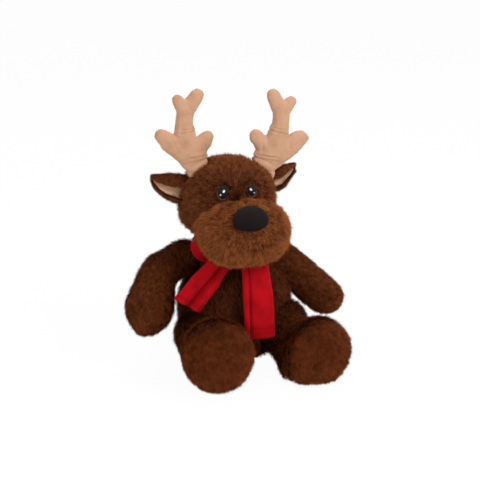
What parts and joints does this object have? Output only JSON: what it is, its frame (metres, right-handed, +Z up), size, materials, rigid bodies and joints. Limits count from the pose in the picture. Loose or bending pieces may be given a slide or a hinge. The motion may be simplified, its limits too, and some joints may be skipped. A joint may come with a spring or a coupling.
{
  "type": "plush deer",
  "caption": "Seated stuffed deer of brown fur cloth with tan stuffed antlers, cupped ears, a dark velour nose and a red scarf with two hanging tails.",
  "frame": {"origin": "under the middle of the seat, on the floor", "axes": "+Z up, the toy faces -Y, its own right side is -X"},
  "size_m": [0.2553, 0.2168, 0.2995],
  "materials": {
    "body_fur": "long pile",
    "head_fur": "long pile",
    "muzzle_fur": "long pile",
    "sole_fur": "long pile",
    "antler_velour": "short velour",
    "ear_lining": "short pile",
    "scarf_felt": "felt",
    "nose_velour": "short velour",
    "eye_black": "embroidery",
    "eye_brown": "embroidery",
    "eye_white": "embroidery",
    "mouth_thread": "embroidery",
    "filling": "loose fibre",
    "bean_cloth": "plain weave"
  },
  "bodies": {
    "torso": {"body_skin": "body_fur", "body_stuffing": "filling", "bean_pouch": "bean_cloth", "scarf_band": "scarf_felt", "scarf_knot": "scarf_felt"},
    "head": {"head_skin": "head_fur", "head_stuffing": "filling", "muzzle_skin": "muzzle_fur", "muzzle_stuffing": "filling", "nose_cover": "nose_velour", "nose_stuffing": "filling", "mouth_stitch": "mouth_thread", "eye_iris_right": "eye_brown", "eye_pupil_right": "eye_black", "eye_glint_large_right": "eye_white", "eye_glint_small_right": "eye_white", "eye_iris_left": "eye_brown", "eye_pupil_left": "eye_black", "eye_glint_large_left": "eye_white", "eye_glint_small_left": "eye_white"},
    "ear_right": {"ear_back_right": "head_fur", "ear_lining_right": "ear_lining"},
    "antler_right": {"antler_front_panel_right": "antler_velour", "antler_rear_panel_right": "antler_velour", "antler_stuffing_right": "filling"},
    "arm_right": {"arm_skin_right": "body_fur", "arm_stuffing_right": "filling"},
    "leg_right": {"leg_skin_right": "body_fur", "sole_panel_right": "sole_fur", "leg_stuffing_right": "filling"},
    "scarf_end_right": {"scarf_tail_right": "scarf_felt"},
    "ear_left": {"ear_back_left": "head_fur", "ear_lining_left": "ear_lining"},
    "antler_left": {"antler_front_panel_left": "antler_velour", "antler_rear_panel_left": "antler_velour", "antler_stuffing_left": "filling"},
    "arm_left": {"arm_skin_left": "body_fur", "arm_stuffing_left": "filling"},
    "leg_left": {"leg_skin_left": "body_fur", "sole_panel_left": "sole_fur", "leg_stuffing_left": "filling"},
    "scarf_end_left": {"scarf_tail_left": "scarf_felt"},
    "tail_end": {"tail": "body_fur"}
  },
  "joints": [
    {"name": "neck_turn", "type": "hinge", "parent": "torso", "child": "head", "pos_m": [0, 0, 0.134], "axis": [0, 0, 1], "range_deg": [-15, 15], "stiffness_Nm_per_rad": 0.08},
    {"name": "ear_flop_right", "type": "hinge", "parent": "head", "child": "ear_right", "pos_m": [-0.0585, 0.007, 0.191], "axis": [0, 0, -1], "range_deg": [-12, 12], "stiffness_Nm_per_rad": 0.012},
    {"name": "antler_bend_right", "type": "hinge", "parent": "head", "child": "antler_right", "pos_m": [-0.0425, -0.003, 0.21], "axis": [0.809, 0, 0.5878], "range_deg": [-12, 12], "stiffness_Nm_per_rad": 0.06},
    {"name": "arm_raise_right", "type": "hinge", "parent": "torso", "child": "arm_right", "pos_m": [-0.053, 0.002, 0.108], "axis": [0, 1, 0], "range_deg": [0, 40]},
    {"name": "leg_spread_right", "type": "hinge", "parent": "torso", "child": "leg_right", "pos_m": [-0.046, -0.024, 0.031], "axis": [0, 0, -1], "range_deg": [0, 30]},
    {"name": "scarf_lift_right", "type": "hinge", "parent": "torso", "child": "scarf_end_right", "pos_m": [-0.0244, -0.0444, 0.1047], "axis": [-1, 0, 0], "range_deg": [0, 45]},
    {"name": "ear_flop_left", "type": "hinge", "parent": "head", "child": "ear_left", "pos_m": [0.045, 0.01, 0.1915], "axis": [0, 0, 1], "range_deg": [-12, 12], "stiffness_Nm_per_rad": 0.012},
    {"name": "antler_bend_left", "type": "hinge", "parent": "head", "child": "antler_left", "pos_m": [0.0305, -0.003, 0.206], "axis": [-0.682, 0, 0.7314], "range_deg": [-12, 12], "stiffness_Nm_per_rad": 0.06},
    {"name": "arm_raise_left", "type": "hinge", "parent": "torso", "child": "arm_left", "pos_m": [0.053, 0.002, 0.108], "axis": [0, -1, 0], "range_deg": [0, 40]},
    {"name": "leg_spread_left", "type": "hinge", "parent": "torso", "child": "leg_left", "pos_m": [0.046, -0.024, 0.031], "axis": [0, 0, 1], "range_deg": [0, 30]},
    {"name": "scarf_lift_left", "type": "hinge", "parent": "torso", "child": "scarf_end_left", "pos_m": [0.007, -0.0454, 0.105], "axis": [-1, 0, 0], "range_deg": [0, 45]},
    {"name": "tail_flick", "type": "hinge", "parent": "torso", "child": "tail_end", "pos_m": [0, 0.05122, 0.04], "axis": [1, 0, 0], "range_deg": [-10, 6], "stiffness_Nm_per_rad": 0.02}
  ]
}
